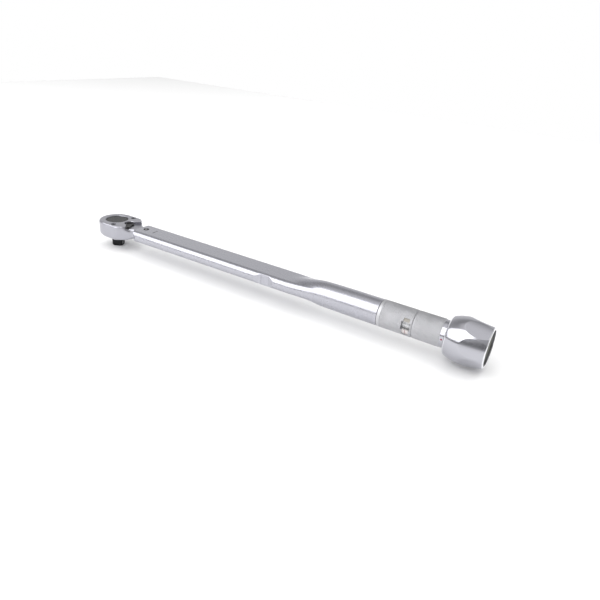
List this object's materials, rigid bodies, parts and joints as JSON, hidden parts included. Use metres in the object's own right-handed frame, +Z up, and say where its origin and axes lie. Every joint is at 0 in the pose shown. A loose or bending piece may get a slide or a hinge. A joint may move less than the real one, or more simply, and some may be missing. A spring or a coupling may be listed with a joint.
{
  "type": "torque_wrench",
  "caption": "Click type torque wrench with a half inch square drive, reversible ratchet head, flattened chrome tube, scale window in a knurled grip and a fluted adjusting knob",
  "frame": {"origin": "On the axis of the drive square, at the height of the tube's centre line", "axes": "+X runs along the tube from the ratchet head to the knob; +Z is up, and the drive square points down along -Z"},
  "size_m": [0.5052, 0.046, 0.049],
  "materials": {
    "satin_chrome": "satin chrome plating with a fine grain",
    "polished_chrome": "mirror bright chrome plating",
    "knurled_silver": "matt silver with a fine diamond knurl",
    "black_steel": "black oxide finish, slightly glossy",
    "dark_steel": "dark oiled steel",
    "plain_steel": "plain ground steel",
    "brass_nut": "plain turned brass",
    "white_plastic": "matt white plastic",
    "beige_plastic": "matt beige plastic",
    "olive_plastic": "matt dark olive plastic",
    "clear_lens": "clear window pane",
    "red_paint": "bright red paint",
    "black_rubber": "black rubber"
  },
  "bodies": {
    "frame_tube": {"tube": "satin_chrome", "pivot_pin": "dark_steel", "guide_block": "plain_steel", "front_housing": "knurled_silver", "rear_housing": "knurled_silver", "neck_bush": "polished_chrome", "lock_ring": "plain_steel", "unit_plate": "beige_plastic", "index_plate": "white_plastic", "index_line": "red_paint", "window_lens": "clear_lens", "red_dot": "red_paint", "thrust_washer": "plain_steel", "thrust_bearing": "plain_steel", "drum_key": "plain_steel", "housing_pin": "dark_steel", "neck_oring": "black_rubber"},
    "head": {"head_body": "satin_chrome", "cover_plate": "satin_chrome", "cover_screw_near": "black_steel", "cover_screw_far": "black_steel", "gear_washer": "plain_steel"},
    "drive": {"drive_gear": "black_steel"},
    "detent": {"detent_ball": "plain_steel", "detent_spring": "plain_steel"},
    "lever": {"reversing_lever": "black_steel", "lever_plunger": "plain_steel", "lever_spring": "plain_steel", "lever_clip": "plain_steel"},
    "rocker": {"pawl": "plain_steel"},
    "thrust_plunger": {"plunger": "plain_steel", "roller": "plain_steel", "roller_axle": "plain_steel", "spring_seat": "plain_steel", "main_spring": "dark_steel"},
    "screw": {"spindle": "plain_steel", "end_screw": "dark_steel"},
    "scale": {"adjuster_nut": "brass_nut", "scale_drum": "white_plastic"},
    "grip_knob": {"knob": "polished_chrome", "end_cap": "olive_plastic"}
  },
  "joints": [
    {"name": "head_click", "type": "hinge", "parent": "frame_tube", "child": "head", "pos_m": [0.052, 0, 0], "axis": [0, 0, 1], "range_deg": [0, 1.8], "stiffness_Nm_per_rad": 60},
    {"name": "drive_turn", "type": "hinge", "parent": "head", "child": "drive", "pos_m": [0, 0, 0], "axis": [0, 0, 1], "continuous": true},
    {"name": "detent_press", "type": "slide", "parent": "drive", "child": "detent", "axis": [0.4848, -0.8746, 0], "range_m": [0, 0.0007], "stiffness_N_per_m": 2000},
    {"name": "lever_flip", "type": "hinge", "parent": "head", "child": "lever", "pos_m": [0.023, 0, 0], "axis": [0, 0, 1], "range_deg": [0, 110]},
    {"name": "pawl_rock", "type": "hinge", "parent": "head", "child": "rocker", "pos_m": [0.023, 0, 0], "axis": [0, 0, 1], "range_deg": [0, 12]},
    {"name": "plunger_push", "type": "slide", "parent": "frame_tube", "child": "thrust_plunger", "axis": [1, 0, 0], "range_m": [0, 0.00252], "deforming": ["main_spring"]},
    {"name": "adjust_turn", "type": "hinge", "parent": "frame_tube", "child": "screw", "pos_m": [0.45, 0, 0], "axis": [1, 0, 0], "range_deg": [-1800, 2520]},
    {"name": "scale_travel", "type": "slide", "parent": "frame_tube", "child": "scale", "axis": [1, 0, 0], "range_m": [-0.0063, 0.0088]},
    {"name": "knob_lock", "type": "slide", "parent": "screw", "child": "grip_knob", "axis": [1, 0, 0], "range_m": [-0.004, 0]}
  ],
  "couplings": [
    {"joint": "pawl_rock", "follows": "lever_flip", "ratio": 0.10909},
    {"joint": "plunger_push", "follows": "head_click", "m_per_rad": 0.08},
    {"joint": "scale_travel", "follows": "adjust_turn", "m_per_rad": 0.00019894}
  ]
}
